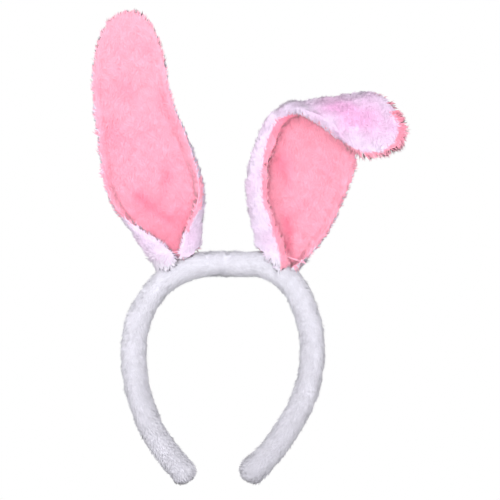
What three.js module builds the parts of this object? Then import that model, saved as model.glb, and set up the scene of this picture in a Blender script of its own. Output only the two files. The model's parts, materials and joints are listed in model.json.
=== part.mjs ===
// Bunny ears headband: a plush-covered spring hoop with two wired plush ears.
// Millimetres, +Z up, +X to the viewer's right, the pink linings face -Y.
// Origin: the middle of the flat under the crown, where the band rests on the head.
// One ear stands upright; the other is folded forward over its own wire.
import * as THREE from "three";

// ---------------------------------------------------------------- hoop sizes
const COVER_R = 10.3; // plush tube, over the pile
const COVER_WALL = 1.9; // knitted backing and pressed pile
const SEAT_PRESS = 0.4; // how much the flat of the seat takes off the tube
const SEAT_DEPTH = COVER_R - SEAT_PRESS; // hoop line to that flat
const GAP = 0.3; // between pieces that touch
const SEAM_W = 5; // seam allowance folded inside the cover
const SEAM_T = 0.6;
const FOAM_R = COVER_R - COVER_WALL - SEAM_T - 2 * GAP;
const CORE_W = 8; // sprung plastic strip, front to back
const CORE_T = 1.8;
const WIRE_R = 0.65; // soft steel wire of the ears
const WIRE_ROOM = 2 * WIRE_R + GAP + 0.1; // beside the strip, where a wire tail passes
const FOAM_SLOT_W = CORE_W + 2 * WIRE_ROOM; // slot in the foam for strip and wire
const FOAM_SLOT_T = CORE_T + 2 * WIRE_ROOM + 0.2;

// Each half of the hoop line from the crown's middle outwards: radius, angle.
// The first stretch is straight, so the seat is one flat face. The relaxed
// hoop is a little fuller on the viewer's left.
const CROWN_FLAT = 12;
const LEFT_ARCS = [[30, 0.25], [69, 1.2], [119, 0.665], [245, 0.19]];
const RIGHT_ARCS = [[81, 0.22], [45.6, 0.885], [101, 0.98], [245, 0.255]];
const SHOULDER = 76; // from the crown's middle to where an arm begins
const SLOT_DEG = 4.5; // V-shaped slot at each shoulder, open on the inside
const END_ROUND = 7; // rounded fabric end of each arm

// ----------------------------------------------------------------- ear sizes
const CHANNEL_R = 1.8; // rolled margin of the plush that holds the wire
const CHANNEL_BORE = WIRE_R + 0.4;
const SHEET_T = 2.3; // each plush sheet with its pile
const EDGE_TRIM = 2 * CHANNEL_R + 2; // sheet edge to the outside of the margin
const MID_INSET = SHEET_T + GAP / 2; // outline to the middle between the sheets
const CAP_POWER = 2.2; // how blunt the ear tips are
const FLAT_BELOW = 0.32; // depth ratio under which a rolled side lies flat
const SADDLE_GAP = 0.9; // ear root to the plush tube it sits on
const SPLIT_GAP = 0.5; // between the two lengths of an ear
const THREAD_R = 0.4;

// Stations up each ear: distance along the ear, half width, how far each side
// is rolled round from the back of the ear (degrees), depth over half width,
// and how far behind the hoop line the back of the ear stands.
const LEFT_EAR = {
  side: -1,
  along: 33, // place on the hoop line
  spine: [[0, 0], [4.6, 12.4], [15, 38], [26.8, 86], [38.6, 134], [42, 178], [39.5, 212]],
  length: 212,
  drawnLength: 212, // the length that the spine and the stations are drawn for
  capLength: 54, // rounded end
  stations: [
    // s, half width, inner side, outer side, depth ratio, back
    [10, 20.5, 172, 172, 0.42, 8.3],
    [24, 26.5, 163, 170, 0.4, 10],
    [41, 33.4, 136, 132, 0.38, 11],
    [56, 38, 120, 98, 0.37, 11],
    [72, 39.7, 112, 84, 0.36, 10],
    [95, 38, 106, 76, 0.34, 9],
    [125, 34, 96, 72, 0.32, 8],
    [165, 31.5, 82, 70, 0.3, 7],
    [212, 30, 70, 66, 0.28, 6],
  ],
  foldAt: 128,
};
const RIGHT_EAR = {
  side: 1,
  along: 43,
  spine: [[0, 0], [7.4, 17.5], [14.5, 41.5], [20.5, 69.5], [28, 99], [39.5, 131], [61, 178], [81.5, 217]],
  length: 227,
  drawnLength: 227,
  capLength: 51,
  stations: [
    [10, 20, 214, 140, 0.42, 8.3],
    [19, 23.5, 190, 110, 0.42, 9.5],
    [32, 29.5, 166, 88, 0.4, 10],
    [45, 35.5, 154, 84, 0.34, 10],
    [62, 41, 140, 80, 0.28, 9.5],
    [85, 44, 126, 72, 0.18, 9],
    [112, 43.5, 126, 66, 0.11, 9],
    [140, 38, 128, 66, 0.12, 9],
    [165, 32, 122, 80, 0.16, 9],
    [190, 29, 105, 82, 0.28, 9],
    [227, 28, 92, 80, 0.32, 9],
  ],
  foldAt: 128,
  foldSlant: 9, // the crease climbs outwards, degrees
  foldRadius: 14.5,
  foldAngle: 165,
};
const TAIL_TURNS = 3; // wire tails wound round the strip

// --------------------------------------------------------------- materials
const material = (name, color, roughness, metalness = 0) =>
  Object.assign(new THREE.MeshStandardMaterial({ color, roughness, metalness }), { name });
const WHITE_PLUSH = material("white_plush", 0xe6e3f0, 0.95);
const PINK_PLUSH = material("pink_plush", 0xfdb4cb, 0.95);
const FOAM = material("foam", 0xf2ead2, 0.9);
const STRIP = material("strip_plastic", 0xe9e9e6, 0.45);
const WIRE = material("ear_wire", 0xb4b7ba, 0.35, 0.9);
const THREAD = material("thread", 0xf3eff6, 0.8);

const group = new THREE.Group();
group.name = "bunny_ears_headband";
const rad = THREE.MathUtils.degToRad;

function add(name, geometry, mat) {
  geometry.deleteAttribute("uv");
  geometry.computeVertexNormals();
  const mesh = new THREE.Mesh(geometry, mat);
  mesh.name = name;
  group.add(mesh);
  return mesh;
}

// ---------------------------------------------------------------- hoop line
// Point and heading at a distance from the crown's middle, on one side.
const arcsOf = (side) => (side < 0 ? LEFT_ARCS : RIGHT_ARCS);
function hoopAt(side, distance) {
  const arcs = arcsOf(side);
  let x = Math.min(distance, CROWN_FLAT);
  let z = SEAT_DEPTH;
  let turned = 0;
  let left = Math.max(0, distance - CROWN_FLAT);
  arcs.forEach(([radius, angle], k) => {
    const last = k === arcs.length - 1;
    const turn = last ? left / radius : Math.min(angle, left / radius);
    x += radius * (Math.sin(turned + turn) - Math.sin(turned));
    z -= radius * (Math.cos(turned) - Math.cos(turned + turn));
    turned += turn;
    left -= turn * radius;
  });
  return {
    point: new THREE.Vector3(side * x, 0, z),
    outward: new THREE.Vector3(side * Math.sin(turned), 0, Math.cos(turned)),
    along: new THREE.Vector3(side * Math.cos(turned), 0, -Math.sin(turned)),
  };
}
const hoopEnd = (side) =>
  arcsOf(side).reduce((sum, [radius, angle]) => sum + radius * angle, CROWN_FLAT);

// The hoop line between two signed distances, left negative, right positive.
class HoopLine extends THREE.Curve {
  constructor(from, to) {
    super();
    this.from = from;
    this.to = to;
  }
  getPoint(t, target = new THREE.Vector3()) {
    const d = THREE.MathUtils.lerp(this.from, this.to, t);
    return target.copy(hoopAt(d < 0 ? -1 : 1, Math.abs(d)).point);
  }
}

// ------------------------------------------------- closed solids from grids
// A closed solid from rings of points that all have the same count. Rings are
// joined in order; the first and last are closed by the given cap points.
function ringSolid(rings, capped = true) {
  const count = rings[0].length;
  const positions = [];
  rings.forEach((ring) => ring.forEach((p) => positions.push(p.x, p.y, p.z)));
  const index = [];
  for (let i = 0; i < rings.length - 1; i += 1) {
    for (let j = 0; j < count; j += 1) {
      const a = i * count + j;
      const b = i * count + ((j + 1) % count);
      index.push(a, b, a + count);
      index.push(b, b + count, a + count);
    }
  }
  if (capped) {
    [0, rings.length - 1].forEach((i, end) => {
      const middle = new THREE.Vector3();
      rings[i].forEach((p) => middle.add(p));
      middle.divideScalar(count);
      const c = positions.length / 3;
      positions.push(middle.x, middle.y, middle.z);
      for (let j = 0; j < count; j += 1) {
        const a = i * count + j;
        const b = i * count + ((j + 1) % count);
        if (end === 0) index.push(c, b, a);
        else index.push(c, a, b);
      }
    });
  }
  return facingOut(positions, index);
}

// A closed sheet: at(i, j, face) gives a point of the face 0 or 1.
function sheetSolid(at, rows, cols) {
  const positions = [];
  const id = (i, j, face) => face * (rows + 1) * (cols + 1) + i * (cols + 1) + j;
  for (let face = 0; face < 2; face += 1) {
    for (let i = 0; i <= rows; i += 1) {
      for (let j = 0; j <= cols; j += 1) {
        const p = at(i / rows, j / cols, face);
        positions.push(p.x, p.y, p.z);
      }
    }
  }
  const index = [];
  const quad = (a, b, c, d) => index.push(a, b, c, a, c, d);
  for (let i = 0; i < rows; i += 1) {
    for (let j = 0; j < cols; j += 1) {
      quad(id(i, j, 0), id(i, j + 1, 0), id(i + 1, j + 1, 0), id(i + 1, j, 0));
      quad(id(i, j, 1), id(i + 1, j, 1), id(i + 1, j + 1, 1), id(i, j + 1, 1));
    }
    quad(id(i, 0, 0), id(i + 1, 0, 0), id(i + 1, 0, 1), id(i, 0, 1));
    quad(id(i + 1, cols, 0), id(i, cols, 0), id(i, cols, 1), id(i + 1, cols, 1));
  }
  for (let j = 0; j < cols; j += 1) {
    quad(id(0, j + 1, 0), id(0, j, 0), id(0, j, 1), id(0, j + 1, 1));
    quad(id(rows, j, 0), id(rows, j + 1, 0), id(rows, j + 1, 1), id(rows, j, 1));
  }
  return facingOut(positions, index);
}

function facingOut(positions, index) {
  let volume = 0;
  const p = (k) => new THREE.Vector3().fromArray(positions, 3 * k);
  for (let k = 0; k < index.length; k += 3) {
    volume += p(index[k]).dot(p(index[k + 1]).cross(p(index[k + 2])));
  }
  if (volume < 0) index.reverse();
  const geometry = new THREE.BufferGeometry();
  geometry.setAttribute("position", new THREE.Float32BufferAttribute(positions, 3));
  geometry.setIndex(index);
  return geometry;
}

// A round cord or bored tube with one ring of corners at each of its points.
function tubeSolid(points, radius, bore = 0, sides = 6) {
  const last = points.length - 1;
  const tangents = points.map((_, i) =>
    points[Math.min(i + 1, last)].clone().sub(points[Math.max(i - 1, 0)]).normalize(),
  );
  const normals = [new THREE.Vector3(0, 1, 0).projectOnPlane(tangents[0]).normalize()];
  const turn = new THREE.Quaternion();
  for (let i = 1; i <= last; i += 1) {
    turn.setFromUnitVectors(tangents[i - 1], tangents[i]);
    normals.push(normals[i - 1].clone().applyQuaternion(turn));
  }
  const ring = (i, r) =>
    Array.from({ length: sides }, (_, j) => {
      const a = (2 * Math.PI * j) / sides;
      const binormal = tangents[i].clone().cross(normals[i]);
      return points[i]
        .clone()
        .addScaledVector(normals[i], r * Math.cos(a))
        .addScaledVector(binormal, r * Math.sin(a));
    });
  const rings = points.map((_, i) => ring(i, radius));
  if (bore === 0) return ringSolid(rings);
  points.forEach((_, i) => rings.push(ring(last - i, bore)));
  rings.push(rings[0]);
  return weld(ringSolid(rings, false));
}

// Joins points at the same place, so that a closed chain of rings is closed.
function weld(geometry) {
  const p = geometry.attributes.position;
  const seen = new Map();
  const to = [];
  const kept = [];
  for (let i = 0; i < p.count; i += 1) {
    const key = [p.getX(i), p.getY(i), p.getZ(i)].map((v) => v.toFixed(4)).join();
    if (!seen.has(key)) {
      seen.set(key, kept.length / 3);
      kept.push(p.getX(i), p.getY(i), p.getZ(i));
    }
    to.push(seen.get(key));
  }
  return facingOut(kept, Array.from(geometry.index.array, (i) => to[i]));
}

// --------------------------------------------------------------- hoop pieces
// Outline of the tube: a circle with the flat of the seat on its inner side.
// In these shapes x runs front to back and y runs towards the hoop's inside.
function roundShape(radius, flatAt, segments) {
  const half = Math.acos(Math.min(1, flatAt / radius));
  const shape = new THREE.Shape();
  const turn = 2 * (Math.PI - half);
  for (let i = 0; i <= segments; i += 1) {
    const a = Math.PI / 2 + half + (turn * i) / segments;
    const point = [radius * Math.cos(a), radius * Math.sin(a)];
    if (i === 0) shape.moveTo(...point);
    else shape.lineTo(...point);
  }
  shape.closePath();
  return shape;
}
function boxShape(width, height) {
  const shape = new THREE.Shape();
  shape.moveTo(-width / 2, -height / 2);
  shape.lineTo(width / 2, -height / 2);
  shape.lineTo(width / 2, height / 2);
  shape.lineTo(-width / 2, height / 2);
  shape.closePath();
  return shape;
}
// Part of a ring between two radii, about an angle from the hoop's inside.
function ringPart(inner, outer, middleDeg, width) {
  const half = width / 2 / outer;
  const shape = new THREE.Shape();
  const steps = 4;
  for (let i = 0; i <= 2 * steps + 1; i += 1) {
    const out = i <= steps;
    const f = out ? i / steps : (2 * steps + 1 - i) / steps;
    const a = Math.PI / 2 + rad(middleDeg) + half * (2 * f - 1);
    const r = out ? outer : inner;
    if (i === 0) shape.moveTo(r * Math.cos(a), r * Math.sin(a));
    else shape.lineTo(r * Math.cos(a), r * Math.sin(a));
  }
  shape.closePath();
  return shape;
}

// Sweeps a shape along the hoop and leans its end faces by small angles, so
// that the slot at a shoulder is a V with its point on the hoop's outside.
function hoopSolid(shape, from, to, steps, lean = {}) {
  const geometry = new THREE.ExtrudeGeometry(shape, {
    steps,
    extrudePath: new HoopLine(from, to),
    bevelEnabled: false,
  });
  const p = geometry.attributes.position;
  const v = new THREE.Vector3();
  [
    [from, lean.start || 0],
    [to, lean.end || 0],
  ].forEach(([place, deg]) => {
    if (deg === 0) return;
    const frame = hoopAt(place < 0 ? -1 : 1, Math.abs(place));
    const along = frame.along.clone().multiplyScalar(place < 0 ? -1 : 1);
    for (let i = 0; i < p.count; i += 1) {
      v.fromBufferAttribute(p, i).sub(frame.point);
      if (Math.abs(v.dot(along)) > 0.02 || v.length() > 2 * COVER_R) continue;
      const inward = COVER_R - v.dot(frame.outward);
      v.add(frame.point).addScaledVector(along, inward * Math.tan(rad(deg)));
      p.setXYZ(i, v.x, v.y, v.z);
    }
  });
  return geometry;
}

// The crown runs between the shoulders; each arm runs on from one to its end.
const coverShape = () => {
  const shape = roundShape(COVER_R, SEAT_DEPTH, 19);
  shape.holes.push(roundShape(COVER_R - COVER_WALL, COVER_R, 14));
  return shape;
};
const foamShape = () => {
  const shape = roundShape(FOAM_R, FOAM_R, 16);
  shape.holes.push(boxShape(FOAM_SLOT_W, FOAM_SLOT_T));
  return shape;
};
const coreShape = () => boxShape(CORE_W, CORE_T);
const SEAM_PLACE = 115; // degrees from the hoop's inside, towards the back
const seamShape = () => {
  const middle = (FOAM_R + COVER_R - COVER_WALL) / 2;
  return ringPart(middle - SEAM_T / 2, middle + SEAM_T / 2, SEAM_PLACE, SEAM_W);
};
const HOOP_PIECES = [
  ["cover", coverShape, WHITE_PLUSH],
  ["foam", foamShape, FOAM],
  ["core", coreShape, STRIP],
  ["cover_seam", seamShape, WHITE_PLUSH],
];
const HALF_SLOT = SLOT_DEG / 2;
HOOP_PIECES.forEach(([name, shape, mat]) => {
  add(
    `crown_${name}`,
    hoopSolid(shape(), -SHOULDER, SHOULDER, 20, { start: HALF_SLOT, end: -HALF_SLOT }),
    mat,
  );
  [
    ["left", -1],
    ["right", 1],
  ].forEach(([word, side]) => {
    const stop = hoopEnd(side) - END_ROUND;
    const start = SHOULDER + GAP;
    const lean = side < 0 ? { end: -HALF_SLOT } : { start: HALF_SLOT };
    const geometry =
      side < 0
        ? hoopSolid(shape(), -stop, -start, 12, lean)
        : hoopSolid(shape(), start, stop, 12, lean);
    add(`arm_${word}_${name}`, geometry, mat);
  });
});

// Each arm ends in a gathered fabric cap, sewn shut over the strip.
[
  ["left", -1],
  ["right", 1],
].forEach(([word, side]) => {
  const frame = hoopAt(side, hoopEnd(side) - END_ROUND + GAP);
  const profile = [new THREE.Vector2(0, 0)];
  for (let i = 0; i <= 5; i += 1) {
    const a = (i / 5) * (Math.PI / 2);
    profile.push(new THREE.Vector2(COVER_R * Math.cos(a), END_ROUND * Math.sin(a)));
  }
  profile[profile.length - 1].x = 0;
  const cap = new THREE.LatheGeometry(profile, 20);
  const turn = new THREE.Quaternion().setFromUnitVectors(
    new THREE.Vector3(0, 1, 0),
    frame.along.clone(),
  );
  cap.applyQuaternion(turn);
  cap.translate(frame.point.x, frame.point.y, frame.point.z);
  add(`arm_${word}_end_cap`, weld(cap), WHITE_PLUSH);
});

// ---------------------------------------------------------------------- ears
const smooth = (f) => f * f * (3 - 2 * f);
// The ear's drawing stretched to its length; its width and roll stay.
function stretched(ear) {
  const k = ear.length / ear.drawnLength;
  return {
    ...ear,
    spine: ear.spine.map(([out, up]) => [k * out, k * up]),
    stations: ear.stations.map(([s, ...rest]) => [k * s, ...rest]),
    foldAt: k * ear.foldAt,
    capFrom: ear.length - ear.capLength,
  };
}
// Value of column k of the stations at a distance s, on a smooth curve.
function station(ear, s, k) {
  const list = ear.stations;
  let i = 0;
  while (i < list.length - 2 && s > list[i + 1][0]) i += 1;
  const at = (n) => list[Math.max(0, Math.min(list.length - 1, n))];
  const [s1, s2] = [at(i)[0], at(i + 1)[0]];
  const f = THREE.MathUtils.clamp((s - s1) / (s2 - s1), 0, 1);
  const slope = (n) =>
    n <= 0 || n >= list.length - 1
      ? (at(Math.min(n, list.length - 2) + 1)[k] - at(Math.max(n, 1) - 1)[k]) /
        (at(Math.min(n, list.length - 2) + 1)[0] - at(Math.max(n, 1) - 1)[0])
      : (at(n + 1)[k] - at(n - 1)[k]) / (at(n + 1)[0] - at(n - 1)[0]);
  const h = s2 - s1;
  const [a, b] = [at(i)[k], at(i + 1)[k]];
  return (
    a * (1 + 2 * f) * (1 - f) ** 2 +
    h * slope(i) * f * (1 - f) ** 2 +
    b * f * f * (3 - 2 * f) +
    h * slope(i + 1) * f * f * (f - 1)
  );
}
function halfWidth(ear, s) {
  const over = (s - ear.capFrom) / (ear.length - ear.capFrom);
  const cap = over > 0 ? Math.max(0, 1 - over ** CAP_POWER) ** (1 / CAP_POWER) : 1;
  return station(ear, s, 1) * cap;
}

// An ear in its flat-out state: frames up the spine and rolled cross-sections.
// A section is part of an ellipse; its angle is 0 at the back of the ear.
function buildEar(ear) {
  const base = hoopAt(ear.side, ear.along);
  const spine = new THREE.CatmullRomCurve3(
    ear.spine.map(([out, up]) => new THREE.Vector3(ear.side * out, 0, up).add(base.point)),
    false,
    "centripetal",
  );
  spine.arcLengthDivisions = 400;
  const total = spine.getLength();
  const reach = (a) => (a > Math.PI / 2 ? 1 : Math.sin(a));
  const inset = (a) => MID_INSET * smooth(THREE.MathUtils.clamp((a - 1) / 0.57, 0, 1));
  const cache = new Map();
  const section = (s) => {
    const key = s.toFixed(3);
    if (cache.has(key)) return cache.get(key);
    const u = THREE.MathUtils.clamp(s / total, 0, 1);
    const middle = spine.getPointAt(u);
    const up = spine.getTangentAt(u);
    const across = new THREE.Vector3(up.z, 0, -up.x); // to the viewer's right
    const inner = rad(station(ear, s, 2));
    const outer = rad(station(ear, s, 3));
    // the outer side of a left ear is on the viewer's left
    const [toLeft, toRight] = ear.side < 0 ? [outer, inner] : [inner, outer];
    const wide = halfWidth(ear, s);
    const leftSpan = Math.max(wide - inset(toLeft), 0.6);
    const rightSpan = Math.max(wide - inset(toRight), 0.6);
    const scale = (leftSpan + rightSpan) / (reach(toLeft) + reach(toRight));
    const shift = rightSpan - scale * reach(toRight);
    const depth = scale * station(ear, s, 4);
    const back = station(ear, s, 5) - MID_INSET;
    // Deep cups are elliptical; a side rolled flat has a round bend of its own.
    const bendR = Math.min(depth, scale);
    const quarter = scale - bendR + (bendR * Math.PI) / 2;
    const flat = smooth(THREE.MathUtils.clamp((FLAT_BELOW - station(ear, s, 4)) / 0.1, 0, 1));
    const outline = (a) => {
      const round = new THREE.Vector2(scale * Math.sin(a), -depth * (1 - Math.cos(a)));
      const folded = Math.abs(a) > Math.PI / 2;
      const run = (folded ? Math.PI - Math.abs(a) : Math.abs(a)) * (quarter / (Math.PI / 2));
      const turn = Math.max(0, (run - scale + bendR) / bendR);
      const rolled = new THREE.Vector2(
        Math.sign(a) * (Math.min(run, scale - bendR) + bendR * Math.sin(turn)),
        folded ? -bendR * (1 + Math.cos(turn)) : -bendR * (1 - Math.cos(turn)),
      );
      return round.lerp(rolled, flat);
    };
    const steps = 96;
    const lengths = [0];
    for (let i = 1; i <= steps; i += 1) {
      const before = outline(THREE.MathUtils.lerp(-toLeft, toRight, (i - 1) / steps));
      const after = outline(THREE.MathUtils.lerp(-toLeft, toRight, i / steps));
      lengths.push(lengths[i - 1] + before.distanceTo(after));
    }
    const length = lengths[steps];
    // Angle at a distance round the section from its left or right end.
    const angleAt = (distance, fromRight) => {
      const d = THREE.MathUtils.clamp(fromRight ? length - distance : distance, 0, length);
      let i = 1;
      while (i < steps && lengths[i] < d) i += 1;
      const f = (d - lengths[i - 1]) / Math.max(lengths[i] - lengths[i - 1], 1e-9);
      return THREE.MathUtils.lerp(-toLeft, toRight, (i - 1 + f) / steps);
    };
    // Point at an angle, moved off the mid surface: a positive offset goes to
    // the white back, a negative one to the pink front.
    const at = (a, offset) => {
      const p = outline(a);
      const along = outline(a + 0.02).sub(outline(a - 0.02)).normalize();
      const x = shift + p.x - offset * along.y;
      const y = back + p.y + offset * along.x;
      return middle.clone().addScaledVector(across, x).setY(y);
    };
    const made = { middle, up, length, angleAt, at };
    cache.set(key, made);
    return made;
  };
  // How far in from the outline a line runs that keeps a distance from it all
  // the way round the tip.
  const trim = (s, distance) => {
    const cap = ear.length - ear.capFrom - distance;
    const over = THREE.MathUtils.clamp((s - ear.capFrom) / cap, 0, 1);
    const kept = (station(ear, s, 1) - distance) * (1 - over ** CAP_POWER) ** (1 / CAP_POWER);
    return halfWidth(ear, s) - kept;
  };
  return { ...ear, base, total, section, trim };
}

// The fold of an ear. The crease line lies in the front plane; what is above
// it bends round an axis in front of the ear and comes down again.
function foldFrame(ear) {
  const { middle, up } = ear.section(ear.foldAt);
  const crease = ear.foldRadius
    ? new THREE.Vector3(Math.cos(rad(ear.foldSlant)), 0, ear.side * Math.sin(rad(ear.foldSlant)))
    : new THREE.Vector3(up.z, 0, -up.x);
  const rise = new THREE.Vector3(-crease.z, 0, crease.x);
  const backPlane = station(ear, ear.foldAt, 5) - MID_INSET;
  return { middle: middle.clone().setY(backPlane), crease, rise, backPlane };
}
function bend(ear, fold, point) {
  if (!ear.foldRadius) return point;
  const rel = point.clone().sub(fold.middle);
  const up = rel.dot(fold.rise);
  if (up <= 0) return point;
  const radius = ear.foldRadius;
  const most = rad(ear.foldAngle);
  const angle = Math.min(up / radius, most);
  const beyond = Math.max(0, up - radius * most);
  const arm = radius + rel.y;
  const newUp = arm * Math.sin(angle) + beyond * Math.cos(angle);
  const newY = arm * Math.cos(angle) - beyond * Math.sin(angle) - radius;
  return fold.middle
    .clone()
    .addScaledVector(fold.crease, rel.dot(fold.crease))
    .addScaledVector(fold.rise, newUp)
    .add(new THREE.Vector3(0, newY, 0));
}

const WORDS = { "-1": "left", 1: "right" };
[LEFT_EAR, RIGHT_EAR].forEach((sizes) => {
  const ear = buildEar(stretched(sizes));
  const word = WORDS[ear.side];
  const fold = foldFrame(ear);
  const saddle = COVER_R + SADDLE_GAP;
  const splitRise = ear.foldRadius ? (ear.foldRadius * Math.PI) / 2 : 0;

  // Height of a flat-out point above the line that divides the two lengths.
  const above = (p) => p.clone().sub(fold.middle).dot(fold.rise) - splitRise;
  // Distance up the ear at which a track reaches a height over that line.
  const reachLine = (track, height) => {
    let [low, high] = [2 * saddle, ear.length - CHANNEL_R];
    for (let n = 0; n < 40; n += 1) {
      const mid = (low + high) / 2;
      if (above(track(mid)) < height) low = mid;
      else high = mid;
    }
    return (low + high) / 2;
  };
  // Distance up the ear at which a track leaves the saddle over the tube.
  const leaveTube = (track) => {
    let [low, high] = [0, 40];
    const clear = (p) => {
      const rel = p.clone().sub(ear.base.point);
      return Math.hypot(rel.y, rel.dot(ear.base.outward)) > saddle && rel.dot(ear.base.outward) > 0;
    };
    for (let n = 0; n < 40; n += 1) {
      const mid = (low + high) / 2;
      if (clear(track(mid))) high = mid;
      else low = mid;
    }
    return high;
  };
  const sheetTop = ear.length - EDGE_TRIM - 0.3;

  // Sheets: the pink lining in front and the white back behind.
  const rowsLower = 20;
  const rowsTip = 11;
  const cols = 16;
  // Rows crowd together at both ends of a lower length and at the tip's end.
  const rowAt = (u) => u - 0.1 * Math.sin(2 * Math.PI * u);
  const tipRowAt = (u) => 1 - (1 - u) ** 2;
  const track = (v, offset) => (s) => {
    const { angleAt, at } = ear.section(s);
    const inside = ear.trim(s, EDGE_TRIM);
    return at(THREE.MathUtils.lerp(angleAt(inside, false), angleAt(inside, true), v), offset);
  };
  [
    ["lining", PINK_PLUSH, [-GAP / 2, -GAP / 2 - SHEET_T]],
    ["back", WHITE_PLUSH, [GAP / 2, GAP / 2 + SHEET_T]],
  ].forEach(([piece, mat, faces]) => {
    const lower = (u, v, face) => {
      const line = track(v, faces[face]);
      const [s0, s1] = [leaveTube(line), reachLine(line, -SPLIT_GAP / 2)];
      return bend(ear, fold, line(s0 + rowAt(u) * (s1 - s0)));
    };
    const tip = (u, v, face) => {
      const line = track(v, faces[face]);
      const s0 = reachLine(line, SPLIT_GAP / 2);
      return bend(ear, fold, line(s0 + tipRowAt(u) * (sheetTop - s0)));
    };
    add(`ear_${word}_${piece}`, sheetSolid(lower, rowsLower, cols), mat);
    add(`ear_${word}_tip_${piece}`, sheetSolid(tip, rowsTip, cols), mat);
  });

  // Margins: a rolled channel with the wire in it, up each side and over the tip.
  const margin = (right) => (s) => {
    const { angleAt, at } = ear.section(s);
    return at(angleAt(ear.trim(s, CHANNEL_R), right), 0);
  };
  const marginTop = ear.length - CHANNEL_R - 0.5;
  const samples = (line, s0, s1, count, spread) =>
    Array.from({ length: count + 1 }, (_, i) =>
      bend(ear, fold, line(s0 + spread(i / count) * (s1 - s0))),
    );
  // A margin's end is square to it, so it stops short where the line is slanted.
  const slant = Math.acos(Math.min(1, fold.rise.dot(ear.section(ear.foldAt).up)));
  const half = SPLIT_GAP / 2 + 0.3 + CHANNEL_R * Math.tan(slant);
  [false, true].forEach((right) => {
    const line = margin(right);
    const outer = right === ear.side > 0;
    const s0 = leaveTube(line) + 0.9 * CHANNEL_R;
    const points = samples(line, s0, reachLine(line, -half), rowsLower, rowAt);
    const edge = outer ? "outer" : "inner";
    add(`ear_${word}_margin_${edge}`, tubeSolid(points, CHANNEL_R, CHANNEL_BORE), WHITE_PLUSH);
    add(`ear_${word}_wire_${edge}`, tubeSolid(points, WIRE_R), WIRE);
  });
  const [l, r] = [margin(false), margin(true)];
  const over = l(ear.length - CHANNEL_R).lerp(r(ear.length - CHANNEL_R), 0.5);
  const round = [
    ...samples(l, reachLine(l, half), marginTop, rowsTip + 2, tipRowAt),
    bend(ear, fold, over),
    ...samples(r, reachLine(r, half), marginTop, rowsTip + 2, tipRowAt).reverse(),
  ];
  add(`ear_${word}_tip_margin`, tubeSolid(round, CHANNEL_R, CHANNEL_BORE), WHITE_PLUSH);
  add(`ear_${word}_tip_wire`, tubeSolid(round, WIRE_R), WIRE);

  // Bar tack: thread laid across the two rolled sides where they meet in front.
  const tackAt = saddle + 5;
  const front = CHANNEL_R + GAP + THREAD_R;
  const ends = [l(tackAt), r(tackAt)];
  const lowest = Math.min(ends[0].y, ends[1].y) - front - 1;
  const tack = [];
  for (let i = 0; i <= 4; i += 1) {
    const f = i / 4;
    const zig = i % 2 === 0 ? 0 : 2.4;
    const p = ends[0].clone().lerp(ends[1], f);
    tack.push(new THREE.Vector3(p.x, lowest, p.z + zig));
  }
  add(`ear_${word}_tack`, tubeSolid(tack, THREAD_R, 0, 5), THREAD);

  // Wire tails: wound round the strip inside the crown, under the ear.
  const tail = [];
  const perTurn = 12;
  const pitch = 2 * WIRE_R + 2.4;
  const [rw, rt] = [CORE_W / 2 + GAP + WIRE_R, CORE_T / 2 + GAP + WIRE_R];
  for (let i = 0; i <= TAIL_TURNS * perTurn; i += 1) {
    const a = (2 * Math.PI * i) / perTurn;
    const place = ear.along + pitch * (i / perTurn - TAIL_TURNS / 2);
    const frame = hoopAt(ear.side, place);
    const square = (c, half2) => half2 * Math.sign(c) * Math.min(1, Math.abs(c) * 1.35);
    tail.push(
      frame.point
        .clone()
        .addScaledVector(frame.outward, square(Math.sin(a), rt))
        .add(new THREE.Vector3(0, square(Math.cos(a), rw), 0)),
    );
  }
  add(`crown_wire_tail_${word}`, tubeSolid(tail, WIRE_R, 0, 5), WIRE);
});

export default group;
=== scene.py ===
import json
import math

import bmesh
import bpy
import numpy as np
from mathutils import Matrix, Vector
from mathutils.bvhtree import BVHTree


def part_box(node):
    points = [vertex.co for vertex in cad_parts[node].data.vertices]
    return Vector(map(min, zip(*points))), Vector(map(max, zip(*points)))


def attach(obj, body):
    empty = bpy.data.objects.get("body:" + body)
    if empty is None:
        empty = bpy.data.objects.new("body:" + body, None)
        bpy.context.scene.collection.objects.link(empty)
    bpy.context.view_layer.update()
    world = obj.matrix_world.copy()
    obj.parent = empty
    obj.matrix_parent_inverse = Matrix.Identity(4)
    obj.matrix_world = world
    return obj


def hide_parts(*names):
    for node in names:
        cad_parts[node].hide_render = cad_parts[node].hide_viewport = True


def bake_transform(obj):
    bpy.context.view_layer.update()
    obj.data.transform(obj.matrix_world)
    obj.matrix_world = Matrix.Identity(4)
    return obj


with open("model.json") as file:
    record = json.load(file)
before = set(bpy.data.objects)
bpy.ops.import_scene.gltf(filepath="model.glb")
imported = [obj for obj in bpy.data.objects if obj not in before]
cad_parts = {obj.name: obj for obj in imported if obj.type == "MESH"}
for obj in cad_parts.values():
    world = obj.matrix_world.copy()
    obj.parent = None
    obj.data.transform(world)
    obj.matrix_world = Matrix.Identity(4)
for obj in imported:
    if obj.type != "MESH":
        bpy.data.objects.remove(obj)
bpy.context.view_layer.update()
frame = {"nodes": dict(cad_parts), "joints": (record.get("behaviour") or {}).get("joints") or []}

# Bunny ears headband. Metres, +Z up, the pink linings face -Y.
MM = 0.001
JOINTS = {j["name"]: j for j in frame["joints"]}
NODES = frame["nodes"]

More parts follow.
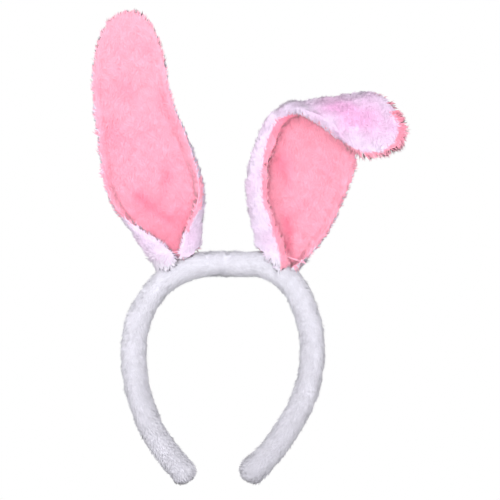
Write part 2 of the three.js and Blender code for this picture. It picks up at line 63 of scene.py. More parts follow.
# ------------------------------------------------------------------ sizes
BAND_VOXEL = 2.6 * MM
EAR_VOXEL = 2.2 * MM
BAND_INSET = 1.9 * MM  # cloth of the band under its pile
EAR_INSET = 1.3 * MM
BAND_PILE = 4.2 * MM
EAR_PILE = 4.4 * MM
TUFT_W = 0.72 * MM
BAND_DENSITY = 1.6e6  # tufts per square metre
EAR_DENSITY = 1.22e6
PUFF_CAP = 1.4 * MM  # how far the cloth may swell
PUFF_FRAMES = 16
WIRE_DEPTH = 1.0 * MM  # least depth under the cloth
TACK_DEPTH = 1.2 * MM
BEND_REACH = 0.016  # of a shoulder's bend, each way along the hoop
GUTTER_REACH = 9 * MM  # lining beside the inner rim that is pulled flat
GUTTER_ROUNDS = 12
# painted shade: each tuft is darker at its root than at its tip
TUFT_SHADE = [0.96] * 3 + [0.99] * 3 + [1.01]  # tone at root, middle and tip
TUFT_NORMAL = 0.55  # share of a tuft's own normal in its shading
# texture place of each corner of a tuft, in its cell
TUFT_CELL = [[0.1, 0.1], [0.5, 0.1], [0.9, 0.1], [0.15, 0.5], [0.5, 0.55], [0.85, 0.5], [0.5, 0.9]]


# ---------------------------------------------------------------- colours
def linear(r, g, b):
    out = []
    for v in (r, g, b):
        c = v / 255
        out.append(c / 12.92 if c <= 0.04045 else ((c + 0.055) / 1.055) ** 2.4)
    return np.array(out)


BAND_WHITE = linear(228, 226, 236)
# the ears' white is pinker than the band's: a painted pink bounce from the linings
EAR_WHITE = linear(235, 220, 241)
# painted pink bounce light on the white beside the pink linings
PINK_BOUNCE = linear(237, 183, 224)
PINK = linear(255, 168, 191)
PINK_LIGHT = linear(255, 174, 195)
# pink of the painted shade in creases, hollows and under the flap; also used for random deeper
# patches
PINK_SHADE = linear(255, 143, 170)

rng = np.random.default_rng(7)


def waves(points, length, count, seed):
    """Smooth noise of about unit spread at points, with features of a length."""
    r = np.random.default_rng(seed)
    d = r.normal(size=(count, 3))
    d /= np.linalg.norm(d, axis=1)[:, None]
    k = 2 * math.pi / (length * r.uniform(0.7, 1.5, count))
    phase = r.uniform(0, 2 * math.pi, count)
    return np.sin(points @ (d * k[:, None]).T + phase).sum(axis=1) * math.sqrt(2 / count)


def smooth(x):
    x = np.clip(x, 0, 1)
    return x * x * (3 - 2 * x)


# -------------------------------------------------------------- materials
def principled(name, roughness, metallic=0.0, sheen=0.0):
    mat = bpy.data.materials.new(name)
    mat.use_nodes = True
    bsdf = mat.node_tree.nodes["Principled BSDF"]
    bsdf.inputs["Roughness"].default_value = roughness
    bsdf.inputs["Metallic"].default_value = metallic
    bsdf.inputs["Sheen Weight"].default_value = sheen
    bsdf.inputs["Sheen Roughness"].default_value = 0.5
    return mat, mat.node_tree, bsdf


def add_noise(tree, scale, detail, low, high):
    """A grey multiplier that varies between low and high over the surface."""
    coord = tree.nodes.new("ShaderNodeTexCoord")
    noise = tree.nodes.new("ShaderNodeTexNoise")
    noise.inputs["Scale"].default_value = scale
    noise.inputs["Detail"].default_value = detail
    tree.links.new(coord.outputs["Object"], noise.inputs["Vector"])
    ramp = tree.nodes.new("ShaderNodeValToRGB")
    ramp.color_ramp.elements[0].position = 0.3
    ramp.color_ramp.elements[0].color = (low, low, low, 1)
    ramp.color_ramp.elements[1].position = 0.7
    ramp.color_ramp.elements[1].color = (high, high, high, 1)
    tree.links.new(noise.outputs["Fac"], ramp.inputs["Fac"])
    return noise, ramp


def multiply(tree, a, b):
    mix = tree.nodes.new("ShaderNodeMix")
    mix.data_type = "RGBA"
    mix.blend_type = "MULTIPLY"
    mix.inputs["Factor"].default_value = 1
    tree.links.new(a, mix.inputs[6])
    if isinstance(b, tuple):
        mix.inputs[7].default_value = b
    else:
        tree.links.new(b, mix.inputs[7])
    return mix.outputs[2]


def add_bump(tree, bsdf, height, strength, distance):
    bump = tree.nodes.new("ShaderNodeBump")
    bump.inputs["Strength"].default_value = strength
    bump.inputs["Distance"].default_value = distance
    tree.links.new(height, bump.inputs["Height"])
    tree.links.new(bump.outputs["Normal"], bsdf.inputs["Normal"])


def plush(name, backing):
    """Pile or its knitted backing; the colour of each place, with its painted shade and painted
    pink bounce, is in "dye_and_painted_light".
    """
    mat, tree, bsdf = principled(name, 0.92, sheen=0.25)
    dye_and_painted_light = tree.nodes.new("ShaderNodeAttribute")
    dye_and_painted_light.attribute_name = "dye_and_painted_light"
    _, coarse_ramp = add_noise(tree, 140, 3, 0.93, 1.0)
    fine, fine_ramp = add_noise(tree, 900, 2, 0.94, 1.0)
    out = multiply(tree, dye_and_painted_light.outputs["Color"], coarse_ramp.outputs["Color"])
    out = multiply(tree, out, fine_ramp.outputs["Color"])
    tree.links.new(out, bsdf.inputs["Base Color"])
    if backing:
        add_bump(tree, bsdf, fine.outputs["Fac"], 0.8, 0.6 * MM)
    return mat


def hard(name, color, roughness, metallic, grain):
    mat, tree, bsdf = principled(name, roughness, metallic)
    noise, ramp = add_noise(tree, grain, 3, 0.86, 1.0)
    out = multiply(tree, ramp.outputs["Color"], (*color, 1))
    tree.links.new(out, bsdf.inputs["Base Color"])
    add_bump(tree, bsdf, noise.outputs["Fac"], 0.3, 0.1 * MM)
    return mat


CLOTH = plush("plush_backing", True)
PILE = plush("plush_pile", False)
STRIP = hard("strip", tuple(linear(233, 233, 230)), 0.45, 0.0, 600)
WIRE = hard("wire", tuple(linear(180, 183, 186)), 0.35, 0.9, 900)
THREAD = hard("thread", tuple(linear(255, 196, 218)), 0.8, 0.0, 2500)


def paint(ob, mat):
    ob.data.materials.clear()
    ob.data.materials.append(mat)


# ----------------------------------------------------------------- meshes
def coords(me):
    co = np.empty(len(me.vertices) * 3)
    me.vertices.foreach_get("co", co)
    return co.reshape(-1, 3)


def set_coords(me, co):
    me.vertices.foreach_set("co", np.ascontiguousarray(co, dtype=float).ravel())
    me.update()


def normals(me):
    no = np.empty(len(me.vertices) * 3)
    me.vertex_normals.foreach_get("vector", no)
    return no.reshape(-1, 3)


def joined(name, node_names):
    """One new object with copies of the meshes of CAD nodes."""
    bm = bmesh.new()
    for n in node_names:
        bm.from_mesh(NODES[n].data)
    bmesh.ops.remove_doubles(bm, verts=bm.verts, dist=1e-6)
    me = bpy.data.meshes.new(name)
    bm.to_mesh(me)
    bm.free()
    ob = bpy.data.objects.new(name, me)
    bpy.context.scene.collection.objects.link(ob)
    return ob


def apply_modifiers(ob):
    dg = bpy.context.evaluated_depsgraph_get()
    me = bpy.data.meshes.new_from_object(ob.evaluated_get(dg))
    ob.modifiers.clear()
    old = ob.data
    ob.data = me
    bpy.data.meshes.remove(old)


def keep_largest(ob):
    bm = bmesh.new()
    bm.from_mesh(ob.data)
    bm.verts.ensure_lookup_table()
    seen, best = set(), []
    for v in bm.verts:
        if v in seen:
            continue
        stack, part = [v], []
        seen.add(v)
        while stack:
            u = stack.pop()
            part.append(u)
            for e in u.link_edges:
                w = e.other_vert(u)
                if w not in seen:
                    seen.add(w)
                    stack.append(w)
        if len(part) > len(best):
            best = part
    best = set(best)
    bmesh.ops.delete(bm, geom=[v for v in bm.verts if v not in best], context="VERTS")
    bm.to_mesh(ob.data)
    bm.free()


def skin_over(name, node_names, voxel, inset, rim=()):
    """A closed cloth skin a little inside the outer surface of CAD nodes."""
    ob = joined(name, node_names)
    mod = ob.modifiers.new("remesh", "REMESH")
    mod.mode = "VOXEL"
    mod.voxel_size = voxel
    mod.adaptivity = 0
    apply_modifiers(ob)
    keep_largest(ob)
    mod = ob.modifiers.new("even", "SMOOTH")
    mod.factor = 0.5
    mod.iterations = 3
    apply_modifiers(ob)
    co = coords(ob.data)
    depth = np.full(len(co), inset)
    if rim:
        # the rolled rim keeps its wire inside
        depth *= smooth((distances(tree_of(*rim), co) - 1 * MM) / (4 * MM)) * 0.9 + 0.1
    set_coords(ob.data, co - depth[:, None] * normals(ob.data))
    mod = ob.modifiers.new("even", "SMOOTH")
    mod.factor = 0.4
    mod.iterations = 2
    apply_modifiers(ob)
    return ob


def puff(ob, pressure, slack, cap):
    """Lets the cloth swell and wrinkle a little, then subdivides it."""
    rest = coords(ob.data)
    mod = ob.modifiers.new("puff", "CLOTH")
    s = mod.settings
    s.quality = 4
    s.mass = 0.12
    s.tension_stiffness = 12
    s.compression_stiffness = 12
    s.shear_stiffness = 4
    s.bending_stiffness = 0.3
    s.shrink_min = -slack
    s.use_pressure = True
    s.uniform_pressure_force = pressure
    s.effector_weights.gravity = 0
    mod.collision_settings.use_collision = False
    mod.point_cache.frame_start = 1
    mod.point_cache.frame_end = PUFF_FRAMES
    for f in range(1, PUFF_FRAMES + 1):
        bpy.context.scene.frame_set(f)
    dg = bpy.context.evaluated_depsgraph_get()
    done = coords(ob.evaluated_get(dg).data)
    ob.modifiers.clear()
    bpy.context.scene.frame_set(1)
    move = done - rest
    move -= move.mean(axis=0)
    size = np.linalg.norm(move, axis=1)
    move *= (cap * np.tanh(size / cap) / np.maximum(size, 1e-9))[:, None]
    set_coords(ob.data, rest + move)
    mod = ob.modifiers.new("fine", "SUBSURF")
    mod.levels = 1
    mod.render_levels = 1
    apply_modifiers(ob)
    for p in ob.data.polygons:
        p.use_smooth = True
    return ob


def tree_of(*node_names):
    bm = bmesh.new()
    for n in node_names:
        bm.from_mesh(NODES[n].data)
    tree = BVHTree.FromBMesh(bm)
    bm.free()
    return tree


def distances(tree, points):
    return np.array([tree.find_nearest(Vector(p))[3] for p in points])


# the colour attribute holds the cloth's colour with painted shade and painted bounce light in it
def set_dye_and_painted_light(me, rgb):
    data = np.ones((len(me.vertices), 4))
    data[:, :3] = rgb
    layer = me.attributes.new("dye_and_painted_light", "FLOAT_COLOR", "POINT")
    layer.data.foreach_set("color", data.astype(np.float32).ravel())


def kept_inside(points, ob, depth):
    """Points moved in until they are at least a depth under the skin."""
    bm = bmesh.new()
    bm.from_mesh(ob.data)
    tree = BVHTree.FromBMesh(bm)
    bm.free()
    out = points.copy()
    for i, p in enumerate(points):
        place, normal, _, _ = tree.find_nearest(Vector(p))
        over = (Vector(p) - place).dot(normal) + depth
        if over > 0:
            out[i] = np.array(Vector(p) - over * normal)
    return out


# -------------------------------------------------------------------- fur
class Surface:
    """Triangles of a skin with values at its vertices, to plant tufts on."""

    def __init__(self, ob):
        me = ob.data
        me.calc_loop_triangles()
        tris = np.empty(len(me.loop_triangles) * 3, dtype=np.int32)
        me.loop_triangles.foreach_get("vertices", tris)
        self.tris = tris.reshape(-1, 3)
        self.co = coords(me)
        self.no = normals(me)
        a, b, c = (self.co[self.tris[:, i]] for i in range(3))
        self.area = np.linalg.norm(np.cross(b - a, c - a), axis=1) / 2

    def plant(self, density, seed):
        r = np.random.default_rng(seed)
        count = int(self.area.sum() * density)
        pick = r.choice(len(self.tris), size=count, p=self.area / self.area.sum())
        u, v = r.random(count), r.random(count)
        flip = u + v > 1
        u[flip], v[flip] = 1 - u[flip], 1 - v[flip]
        w = np.stack([1 - u - v, u, v], axis=1)
        return self.tris[pick], w

    @staticmethod
    def at(values, corner, w):
        picked = values[corner]
        if picked.ndim == 3:
            return (picked * w[:, :, None]).sum(axis=1)
        return (picked * w).sum(axis=1)


def unit(v):
    return v / np.maximum(np.linalg.norm(v, axis=1), 1e-12)[:, None]


def make_tufts(name, root, out, comb, length, width, rise, rgb, seed):
    """Tapered three-sided tufts: root ring, middle ring and a tip."""
    r = np.random.default_rng(seed)
    n = len(root)
    comb = unit(comb - (comb * out).sum(axis=1)[:, None] * out)
    lean = rise[:, None]
    first = unit(out * np.sin(lean + 0.35) + comb * np.cos(lean + 0.35))
    second = unit(out * np.sin(lean - 0.25) + comb * np.cos(lean - 0.25))
    jitter = r.normal(size=(n, 3)) * 0.16
    first = unit(first + jitter)
    second = unit(second + jitter + r.normal(size=(n, 3)) * 0.12)
    mid = root + first * (0.5 * length)[:, None]
    tip = mid + second * (0.5 * length)[:, None]
    side = unit(np.cross(first, out + 1e-4))
    up = np.cross(side, first)
    turn = r.uniform(0, 2 * math.pi, n)
    verts = np.empty((n, 7, 3))
    for k in range(3):
        a = turn + 2 * math.pi * k / 3
        ring = side * np.cos(a)[:, None] + up * np.sin(a)[:, None]
        verts[:, k] = root - out * 0.3 * MM + ring * (0.5 * width)[:, None]
        verts[:, 3 + k] = mid + ring * (0.42 * width)[:, None]
    verts[:, 6] = tip
    pattern = []
    for k in range(3):
        m = (k + 1) % 3
        pattern += [[k, 3 + m, m], [k, 3 + k, 3 + m], [3 + k, 6, 3 + m]]
    pattern = np.array(pattern)
    tris = (pattern[None] + 7 * np.arange(n)[:, None, None]).reshape(-1, 3)
    me = bpy.data.meshes.new(name)
    me.vertices.add(7 * n)
    me.vertices.foreach_set("co", verts.ravel())
    me.loops.add(3 * len(tris))
    me.loops.foreach_set("vertex_index", tris.astype(np.int32).ravel())
    me.polygons.add(len(tris))
    me.polygons.foreach_set("loop_start", np.arange(0, 3 * len(tris), 3, dtype=np.int32))
    me.polygons.foreach_set("use_smooth", np.ones(len(tris), dtype=bool))
    me.update(calc_edges=True)
    # painted shade: darker at the root, lighter towards the tip
    tone = r.normal(1.0, 0.035, n)
    dye_and_painted_light = rgb[:, None, :] * np.array(TUFT_SHADE)[None, :, None] * tone[:, None, None]
    set_dye_and_painted_light(me, np.clip(dye_and_painted_light, 0, 1).reshape(-1, 3))
    # one small cell of the texture for each tuft
    grid = math.ceil(math.sqrt(n))
    cell = np.stack([np.arange(n) % grid, np.arange(n) // grid], axis=1) / grid
    uv = cell[:, None, :] + np.array(TUFT_CELL)[None] / grid
    layer = me.uv_layers.new(name="OFBake")
    layer.data.foreach_set("uv", uv.reshape(-1, 2)[tris.ravel()].astype(np.float32).ravel())
    # the pile scatters light like the surface under it
    own = unit(normals(me)).reshape(n, 7, 3)
    soft = np.repeat(out[:, None, :], 7, axis=1) + TUFT_NORMAL * own
    me.normals_split_custom_set_from_vertices(unit(soft.reshape(-1, 3)))
    ob = bpy.data.objects.new(name, me)
    bpy.context.scene.collection.objects.link(ob)
    paint(ob, PILE)
    return ob


def nudge(co, start, moves, share=1.0):
    """Shifts of parts of a skin, in millimetres, each faded by its limits.

    A limit is an axis with > or <, the place where the fade starts and its
    width; the places are those of start.
    """
    for axis, shift, *limits in moves:
        part = share
        for where, edge, width in limits:
            v = start[:, "xyz".index(where[0])]
            part = part * smooth((v - edge if where[1] == ">" else edge - v) / width)
        co[:, "xyz".index(axis)] += shift * MM * part


# ------------------------------------------------------------------- band
BAND_SAG = [
    ("x", 2.0, ("x<", -0.045, 0.01), ("z>", -0.03, 0.02)),
    ("z", -1.8, ("x>", -0.050, 0.02), ("x<", 0.034, 0.02), ("z>", -0.02, 0.01)),
    ("x", 1.3, ("x<", -0.05, 0.01), ("z<", 0.0, 0.02), ("z>", -0.13, 0.03)),
]
ARM_L, ARM_R = JOINTS["arm_left_flex"], JOINTS["arm_right_flex"]
SHOULDER_L, SHOULDER_R = (Vector(j["pos_m"]) for j in (ARM_L, ARM_R))
HOOP = ["crown_cover", "arm_left_cover", "arm_right_cover"]
ENDS = ["arm_left_end_cap", "arm_right_end_cap"]
SPANS = ("crown", "arm_left", "arm_right")
SOFT_INNER = [f"{p}_{k}" for p in SPANS for k in ("foam", "cover_seam")]
CORES = [f"{p}_core" for p in SPANS]

band = skin_over("band", HOOP + ENDS + SOFT_INNER + CORES, BAND_VOXEL, BAND_INSET)


def mid(node):
    lo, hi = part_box(node)
    return np.array((lo + hi) / 2)


# the gathered ends are fuller than the tube and turn a little inwards
END_L, END_R = mid("arm_left_end_cap"), mid("arm_right_end_cap")
co, no = coords(band.data), normals(band.data)
nudge(co, co.copy(), BAND_SAG)
for end, swell, inward in ((END_L, 0.4, 0.6), (END_R, 1.2, -2.4)):
    near = smooth(1 - np.linalg.norm(co - end, axis=1) / (24 * MM))
    co += no * (near * swell * MM)[:, None]
    co[:, 0] += near * inward * MM
set_coords(band.data, co)
puff(band, 3.0, 0.02, PUFF_CAP)

# hoop directions: the tangent at a point, from the points of the core strips
line = np.vstack([coords(NODES[n].data) for n in CORES])
HOOP_MID = np.array([0.0, 0.0, SHOULDER_L.z - 0.045])


def hoop_angle(p):
    return np.arctan2(p[:, 0] - HOOP_MID[0], p[:, 2] - HOOP_MID[2])


order = np.argsort(hoop_angle(line))
line = line[order]
angle = hoop_angle(line)
bins = np.linspace(angle[0], angle[-1], 90)
spot = np.digitize(angle, bins)
centre = np.array([line[spot == k].mean(axis=0) for k in range(1, 90) if (spot == k).any()])
centre_angle = hoop_angle(centre)
tangent = unit(np.gradient(centre, axis=0))


def hoop_frame(p):
    a = hoop_angle(p)
    c = np.stack([np.interp(a, centre_angle, centre[:, i]) for i in range(3)], axis=1)
    t = unit(np.stack([np.interp(a, centre_angle, tangent[:, i]) for i in range(3)], axis=1))
    return c, t


def band_colour_and_shade(p, n):
    """White; painted shade makes it greyer on the inner side of the hoop, and it is greyer towards
    its lower ends.
    """
    c, t = hoop_frame(p)
    outward = np.cross(t, np.array([0, 1.0, 0]))
    outward *= np.sign((outward * (c - HOOP_MID)).sum(axis=1))[:, None]
    # painted shade: greyer where the cloth faces the inside of the hoop
    inner = smooth(0.5 - 0.9 * (n * outward).sum(axis=1))
    low = smooth((-p[:, 2] - 0.02) / 0.14)
    tone = 1 - 0.07 * inner - 0.07 * low + 0.012 * waves(p, 0.018, 12, 3)
    return BAND_WHITE[None] * tone[:, None]


band_co, band_no = coords(band.data), normals(band.data)
set_dye_and_painted_light(band.data, band_colour_and_shade(band_co, band_no))
paint(band, CLOTH)


def split_band(ob):
    """Cuts the band's skin at the crown's middle into its two halves."""
    out = []
    for name, side in (("band_skin_left", -1), ("band_skin_right", 1)):
        half = ob.copy()
        half.data = ob.data.copy()
        half.name = name
        half.data.name = name
        bpy.context.scene.collection.objects.link(half)
        bm = bmesh.new()
        bm.from_mesh(half.data)
        gone = [f for f in bm.faces if side * f.calc_center_median().x <= 0]
        bmesh.ops.delete(bm, geom=gone, context="FACES")
        bm.to_mesh(half.data)
        bm.free()
        out.append(half)
    bpy.data.objects.remove(ob)
    return out


surface = Surface(band)
band_left, band_right = split_band(band)


def shoulder_span(side):
    """Start and end of the bend at a shoulder, along the hoop."""
    p = SHOULDER_L if side < 0 else SHOULDER_R
    c, t = hoop_frame(np.array([[p.x, 0, p.z]]))
    t = Vector(t[0] * (1 if t[0][2] < 0 else -1))
    return p - t * BEND_REACH, p + t * BEND_REACH


SPAN_L, SPAN_R = shoulder_span(-1), shoulder_span(1)
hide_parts("crown_cover", "crown_foam", "crown_cover_seam", "arm_left_cover",
            "arm_left_foam", "arm_left_cover_seam", "arm_left_end_cap")
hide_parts("arm_right_cover", "arm_right_foam", "arm_right_cover_seam",
            "arm_right_end_cap")

corner, w = surface.plant(BAND_DENSITY, 11)
root = surface.at(surface.co, corner, w)
out = unit(surface.at(surface.no, corner, w))
_, along = hoop_frame(root)
away = np.clip(root[:, 0] / 0.03, -1, 1)[:, None] * along + np.array([[0, -0.25, -0.1]])
swirl = np.stack([waves(root, 0.016, 9, k) for k in (21, 22, 23)], axis=1)
length = BAND_PILE * (1 + 0.07 * waves(root, 0.012, 9, 24)) * rng.uniform(0.75, 1.2, len(root))
rise = 0.54 + 0.05 * waves(root, 0.008, 9, 25)
rgb = band_colour_and_shade(root, out) * (1 + 0.015 * waves(root, 0.006, 9, 26))[:, None]
width = np.full(len(root), TUFT_W) * rng.uniform(0.7, 1.3, len(root))
band_fur = []
for word, side in (("left", -1), ("right", 1)):
    k = side * root[:, 0] > 0
    band_fur.append(make_tufts(f"band_pile_{word}", root[k], out[k], (away + 0.25 * swirl)[k],
                               length[k], width[k], rise[k], rgb[k], 31 + side))
for ob, arm, span in ((band_left, "arm_left", SPAN_L), (band_fur[0], "arm_left", SPAN_L),
                      (band_right, "arm_right", SPAN_R), (band_fur[1], "arm_right", SPAN_R)):
    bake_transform(ob)


# ------------------------------------------------------------------- ears
def groove(p, start, end, width, depth, front):
    """How far in a crease presses the cloth near a line in the front view."""
    a, b = np.array(start), np.array(end)
    q = p[:, [0, 2]]
    d = b - a
    t = np.clip(((q - a) @ d) / (d @ d), 0, 1)
    off = q - a - t[:, None] * d
    dist = np.linalg.norm(off, axis=1)
    fade = smooth(4 * t) * smooth(4 * (1 - t)) * 0.8 + 0.2
    return depth * np.exp(-((dist / width) ** 2)) * fade * front


EARS = {
    "left": {
        "joint": "ear_left_tip_bend",
        "fold": 0.0,
        "span": 0.014,
        # the white closes over the lining below this line (x, z)
        "hem": ((-0.0830, 0.0482), (-0.0376, 0.0178)),
        "lap_from": 0.034,
        "lap": 2.6 * MM,
        # creases: start, end (x, z), width, depth in metres
        "sag": [
            ("x", -1.0, ("z>", 0.055, 0.03)),
            ("x", 6.2, ("z<", 0.064, 0.03), ("x<", -0.044, 0.02)),
            ("x", 1.0, ("x<", -0.062, 0.01), ("z>", 0.15, 0.02)),
            ("x", -0.8, ("x>", -0.075, 0.02), ("z>", 0.12, 0.02)),
            ("z", 0.2, ("z>", 0.16, 0.04)),
        ],
        "creases": [
            ((-0.0760, 0.0690), (-0.0372, 0.0390), 3.0 * MM, 1.9 * MM),
            ((-0.0500, 0.0500), (-0.0420, 0.0850), 3.0 * MM, 1.2 * MM),
        ],
    },
    "right": {
        "joint": "ear_right_fold",
        "fold": math.radians(165),
        "hem": ((0.0520, 0.0065), (0.0640, 0.0065)),
        "lap_from": 0.004,
        "lap": 3.2 * MM,
        "sag": [
            ("x", -4.5, ("z<", 0.020, 0.014), ("x>", 0.050, 0.012)),
            ("x", -3.6, ("x>", 0.055, 0.02), ("z<", 0.078, 0.02)),
            ("x", -0.8, ("x<", 0.040, 0.01), ("z<", 0.085, 0.02)),
            ("x", 2.4, ("x<", 0.052, 0.012), ("z>", 0.088, 0.02)),
            ("z", -2.6, ("z>", 0.124, 0.012)),
            ("x", 0.8, ("x>", 0.118, 0.02)),
        ],
        "creases": [
            ((0.0500, 0.0483), (0.0532, 0.0283), 2.4 * MM, 1.9 * MM),
            ((0.0532, 0.0283), (0.0500, 0.0139), 2.4 * MM, 1.9 * MM),
            ((0.0420, 0.1000), (0.0560, 0.0600), 3.4 * MM, 1.6 * MM),
        ],
    },
}
ROOT_MID = -0.0366  # where the left ear's two rolled sides meet, along x
PARTS = ["lining", "back", "margin_inner", "margin_outer", "wire_inner", "wire_outer",
         "tip_lining", "tip_back", "tip_margin", "tip_wire"]
WIRES = ["wire_inner", "wire_outer", "tip_wire"]


def relax(mesh, co, weight, rounds):
    """Draws each vertex towards the mean of its neighbours, by its weight."""
    edge = np.empty(len(mesh.edges) * 2, int)
    mesh.edges.foreach_get("vertices", edge)
    a, b = edge.reshape(-1, 2).T
    count = np.bincount(a, minlength=len(co)) + np.bincount(b, minlength=len(co))
    for _ in range(rounds):
        total = np.zeros_like(co)
        np.add.at(total, a, co[b])
        np.add.at(total, b, co[a])
        co = co + weight[:, None] * (total / count[:, None] - co)
    return co


# painted pink bounce light on the flap: x, z and half sizes of its rosy spots
PINK_BOUNCE_SPOTS = ((0.113, 0.125, 0.021, 0.012), (0.091, 0.135, 0.013, 0.007))


def settle(word, co, turned):
    """How the sewn cloth hangs away from its pattern, ear by ear."""
    start = co.copy()
    x, z = start[:, 0], start[:, 2]
    nudge(co, start, EARS[word]["sag"])
    if word == "left":
        # the two rolled sides are drawn together at the root
        near = smooth(1 - np.abs(x - ROOT_MID) / 0.010) * smooth((0.031 - z) / 0.010)
        co[:, 0] += 0.8 * (ROOT_MID - x) * near * (start[:, 1] < -1 * MM)
    else:
        # the flap's lower edge is drawn up beside the fold
        under = 0.141 - 0.646 * (x - 0.062) - z
        co[:, 2] += 2.6 * MM * turned * smooth(under / 0.010) * smooth((0.118 - x) / 0.02)
        nudge(co, start, [("z", 3.2, ("z<", 0.112, 0.010), ("x>", 0.108, 0.02))], turned)


for word, ear in EARS.items():
    joint = JOINTS[ear["joint"]]
    pivot = np.array(joint["pos_m"])
    crease = np.array(joint["axis"], float)
    crease *= np.sign(crease[0]) / np.linalg.norm(crease)
    rise_dir = np.array([-crease[2], 0, crease[0]])
    low, tip = f"ear_{word}", f"ear_{word}_tip"
    if ear["fold"]:
        # back of the ear, round the fold and down its front
        d = np.array([0.1, -1.0, 0.25])
        span = (Vector(d * 0.040 / (d @ d)), Vector(d * 0.050 / (d @ d)))
    else:
        m = Vector((pivot[0], 0, pivot[2]))
        span = tuple(m + Vector(rise_dir) * k * ear["span"] for k in (-1, 1))
    s, e = np.array(span[0]), np.array(span[1])

    def tip_share(p):
        return smooth(((p - s) @ (e - s)) / ((e - s) @ (e - s)))

    names = [f"ear_{word}_{k}" for k in PARTS]
    rims = [n for n in names if "margin" in n]
    skin = skin_over(f"ear_{word}_skin", names, EAR_VOXEL, EAR_INSET, rims)
    pink_tree = tree_of(f"ear_{word}_lining", f"ear_{word}_tip_lining")
    white_tree = tree_of(f"ear_{word}_back", f"ear_{word}_tip_back")

    def pinkness(p, n):
        q = p + 3 * MM * n
        return distances(white_tree, q) - distances(pink_tree, q)

    co, no = coords(skin.data), normals(skin.data)
    front = smooth(pinkness(co, no) / (2 * MM) + 0.5)
    # the lining is pulled flat across the gutter beside the inner rim
    inner_rim = tree_of(f"ear_{word}_margin_inner")
    taut = smooth((GUTTER_REACH - distances(inner_rim, co)) / (4 * MM)) * front
    taut *= co[:, 2] > 0.02
    co = relax(skin.data, co, 0.7 * taut, GUTTER_ROUNDS)
    settle(word, co, tip_share(co))
    for a, b, width, depth in ear["creases"]:
        co -= no * groove(co, a, b, width, depth, front)[:, None]
    set_coords(skin.data, co)
    puff(skin, 2.0, 0.03, PUFF_CAP)

    co, no = coords(skin.data), normals(skin.data)
    pink = pinkness(co, no)
    tip_rim = tree_of(f"ear_{word}_tip_margin")

    def is_lining(p, lead, soft):
        """1 on the pink lining, 0 on the white plush, over a soft edge."""
        (x0, z0), (x1, z1) = ear["hem"]
        over = p[:, 2] - z0 - (p[:, 0] - x0) * (z1 - z0) / (x1 - x0)
        over = np.where(p[:, 2] < 0.06, over, 1)
        # lining fur that laps over the rolled rim
        top = pivot[2] - 0.01 if ear["fold"] else 0.078
        near = ear["lap"] - distances(inner_rim, p)
        if ear["fold"]:
            near = near + 2 * MM * smooth((0.034 - p[:, 2]) / 0.02)
        lap = np.where((p[:, 2] < top) & (p[:, 2] > ear["lap_from"]), near, -1)
        if ear["fold"]:
            tip_lap = 2.0 * MM - distances(tip_rim, p)
            lap = np.where(tip_share(p) > 0.9, np.where(p[:, 2] < 0.131, tip_lap, -1), lap)
        lead = np.maximum(lead, lap)
        return smooth(lead / (2 * soft) + 0.5) * smooth(over / (2 * soft) + 0.5)

    # painted shade in the creases, along the grooves that press them in
    def crease_shade(p):
        tone = np.zeros(len(p))
        for a, b, width, depth in ear["creases"]:
            tone += groove(p, a, b, 1.8 * width, depth, 1.0) / (1.9 * MM)
        return np.clip(tone, 0, 1)

    # the cloth's colour, with painted shade and painted pink bounce light in it
    def ear_colour_and_light(p, is_pink):
        n = len(p)
        # painted shade: deeper pink in the creases, plus random deeper patches
        shade_and_tone = np.clip(0.75 * crease_shade(p) + 0.16 * waves(p, 0.03, 9, 41), 0, 1)
        if word == "right":
            # painted shade: deeper pink along the fold and on the inner side, where the flap and
            # the rim shade the lining
            shade_and_tone += 0.5 * smooth((p[:, 2] - 0.095) / 0.03) * smooth((-p[:, 1]) / 0.012 + 0.6)
            shade_and_tone += 0.08 + 0.15 * smooth((0.062 - p[:, 0]) / 0.02)
        else:
            # painted shade: deeper pink towards the ear's base
            shade_and_tone += 0.25 * smooth((0.075 - p[:, 2]) / 0.05)
        shade_and_tone = np.clip(shade_and_tone, 0, 1)[:, None]
        light = smooth((p[:, 2] - 0.09) / 0.1)[:, None] if word == "left" else np.full((n, 1), 0.35)
        rosy = PINK * (1 - light) + PINK_LIGHT * light
        rosy = rosy * (1 - shade_and_tone) + PINK_SHADE * shade_and_tone
        # painted pink bounce light: the ears' white takes a pink glow from the linings
        pink_bounce = np.full(n, 0.16) + 0.08 * waves(p, 0.02, 9, 42)
        if word == "right":
            for x, z, wide, high in PINK_BOUNCE_SPOTS:
                off = (p[:, [0, 2]] - np.array([x, z])) / np.array([wide, high])
                pink_bounce += 0.9 * np.exp(-(off ** 2).sum(axis=1)) * tip_share(p)
        else:
            # more painted pink bounce on the white near the ear's root, beside the lining
            pink_bounce += 0.25 * smooth((0.03 - p[:, 2]) / 0.03)
        pink_bounce = np.clip(pink_bounce, 0, 1)[:, None]
        pale = EAR_WHITE * (1 - pink_bounce) + PINK_BOUNCE * pink_bounce
        is_pink = is_pink[:, None]
        return rosy * is_pink + pale * (1 - is_pink)

    set_dye_and_painted_light(skin.data, ear_colour_and_light(co, is_lining(co, pink, 0.5 * MM)))
    paint(skin, CLOTH)
    soft = [n for n in names if n.split(f"ear_{word}_")[1] not in WIRES]
    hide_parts(*soft)

    surface = Surface(skin)
    corner, w = surface.plant(EAR_DENSITY, 51 + len(word))
    root = surface.at(surface.co, corner, w)
    out = unit(surface.at(surface.no, corner, w))
    rim = smooth(1 - distances(tree_of(*rims), root) / (5 * MM))
    lead = surface.at(pink, corner, w) + rng.normal(0, 0.5 * MM, len(root))
    is_pink = is_lining(root + rng.normal(0, 0.5 * MM, root.shape), lead, 0.1 * MM) > 0.5
    turn = (tip_share(root) * ear["fold"])[:, None]
    to_tip = np.cos(turn) * rise_dir[None] + np.sin(turn) * np.array([[0, -1.0, 0]])
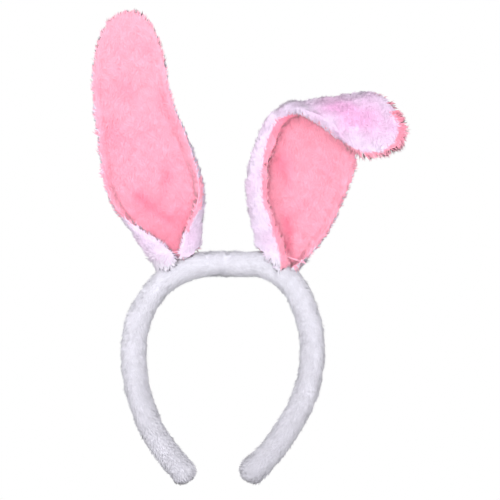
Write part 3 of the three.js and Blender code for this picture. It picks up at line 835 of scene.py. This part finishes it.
    # the pile fans out over the rim
    sheets = tree_of(*[n for n in names if "lining" in n])
    edge = unit(np.array([np.array(Vector(q) - sheets.find_nearest(Vector(q))[0]) for q in root]))
    swirl = np.stack([waves(root, 0.014, 9, k) for k in (61, 62, 63)], axis=1)
    foot = smooth((0.024 - root[:, 2]) / 0.016)[:, None]
    # fur on the lining's side of the inner rim lies in over the gutter instead
    inner = is_pink & (distances(inner_rim, root) < 7 * MM) & (tip_share(root) < 0.5)
    edge[inner] *= -0.6
    flapping = tip_share(root) > 0.9 if ear["fold"] else np.zeros(len(root), bool)
    fan = rim * np.where(flapping, 1.4, 0.7)
    comb = to_tip * (1 - 2 * foot) + 0.4 * swirl + fan[:, None] * edge
    length = EAR_PILE * (1 + 0.12 * waves(root, 0.01, 9, 64)) * rng.uniform(0.7, 1.2, len(root))
    fringe = np.where(is_pink, np.where(flapping, 0.5, -0.1), -0.3)
    length *= 1 + fringe * rim + 0.35 * foot[:, 0]
    rise = 0.5 + 0.09 * waves(root, 0.007, 9, 65)
    rgb = ear_colour_and_light(root, is_pink.astype(float))
    # the white pile takes the band's white where it meets the band
    bandlike = 0.8 * foot * ~is_pink[:, None]
    rgb = rgb * (1 - bandlike) + BAND_WHITE * bandlike
    rgb = rgb * (1 + 0.03 * waves(root, 0.006, 9, 66))[:, None]
    width = np.full(len(root), 1.1 * TUFT_W) * rng.uniform(0.7, 1.3, len(root))
    pieces = [skin]
    for kind, k, slot in (("pink", is_pink, "pink_plush"), ("white", ~is_pink, "white_plush")):
        ob = make_tufts(f"ear_{word}_pile_{kind}", root[k], out[k], comb[k], length[k], width[k],
                        rise[k], rgb[k], 71 + len(kind))
        pieces.append(ob)

    wires = joined(f"ear_{word}_wires", [f"ear_{word}_{k}" for k in WIRES])
    set_coords(wires.data, kept_inside(coords(wires.data), skin, WIRE_DEPTH))
    paint(wires, WIRE)
    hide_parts(*[f"ear_{word}_{k}" for k in WIRES])
    for ob in [*pieces, wires]:
        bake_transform(ob)

    # the bar tack lies on the cloth, down in the pile
    tack = joined(f"ear_{word}_bar_tack", [f"ear_{word}_tack"])
    set_coords(tack.data, kept_inside(coords(tack.data), skin, TACK_DEPTH))
    paint(tack, THREAD)
    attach(tack, low)
    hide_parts(f"ear_{word}_tack")

# ------------------------------------------------------- carried-over nodes
for n, ob in NODES.items():
    if n.endswith("_core"):
        paint(ob, STRIP)
    elif "wire" in n:
        paint(ob, WIRE)

# ------------------------------------------------------------------ studio
bottom = min(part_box(n)[0].z for n in ENDS) - 2 * MM
bpy.ops.mesh.primitive_plane_add(size=3.0, location=(0, 0, bottom))
floor = bpy.context.object
floor.name = "floor"
floor_mat, floor_tree, floor_bsdf = principled("floor", 0.8)
_, floor_ramp = add_noise(floor_tree, 3, 1, 0.97, 1.0)
floor_tree.links.new(
    multiply(floor_tree, floor_ramp.outputs["Color"], (0.9, 0.9, 0.9, 1)),
    floor_bsdf.inputs["Base Color"],
)
paint(floor, floor_mat)

scene = bpy.context.scene
world = bpy.data.worlds.new("studio")
scene.world = world
world.use_nodes = True
world.node_tree.nodes["Background"].inputs["Color"].default_value = (1, 1, 1, 1)
world.node_tree.nodes["Background"].inputs["Strength"].default_value = 1.0


def area_light(name, place, target, size, power):
    light = bpy.data.lights.new(name, "AREA")
    light.energy = power
    light.size = size
    ob = bpy.data.objects.new(name, light)
    ob.location = place
    ob.rotation_euler = (Vector(target) - Vector(place)).to_track_quat("-Z", "Y").to_euler()
    scene.collection.objects.link(ob)


LOOK_AT = Vector((0.022, 0.0, 0.0203))
area_light("key", (-0.5, -1.9, 0.6), LOOK_AT, 1.2, 18)
area_light("fill", (0.1, -2.2, -0.1), LOOK_AT, 0.6, 22)

camera = bpy.data.cameras.new("camera")
camera.type = "ORTHO"
camera.ortho_scale = 0.4
camera_ob = bpy.data.objects.new("camera", camera)
camera_ob.location = LOOK_AT + Vector((0, -2.5, 0))
camera_ob.rotation_euler = (math.radians(90), 0, 0)
scene.collection.objects.link(camera_ob)
scene.camera = camera_ob
scene.view_settings.view_transform = "Standard"
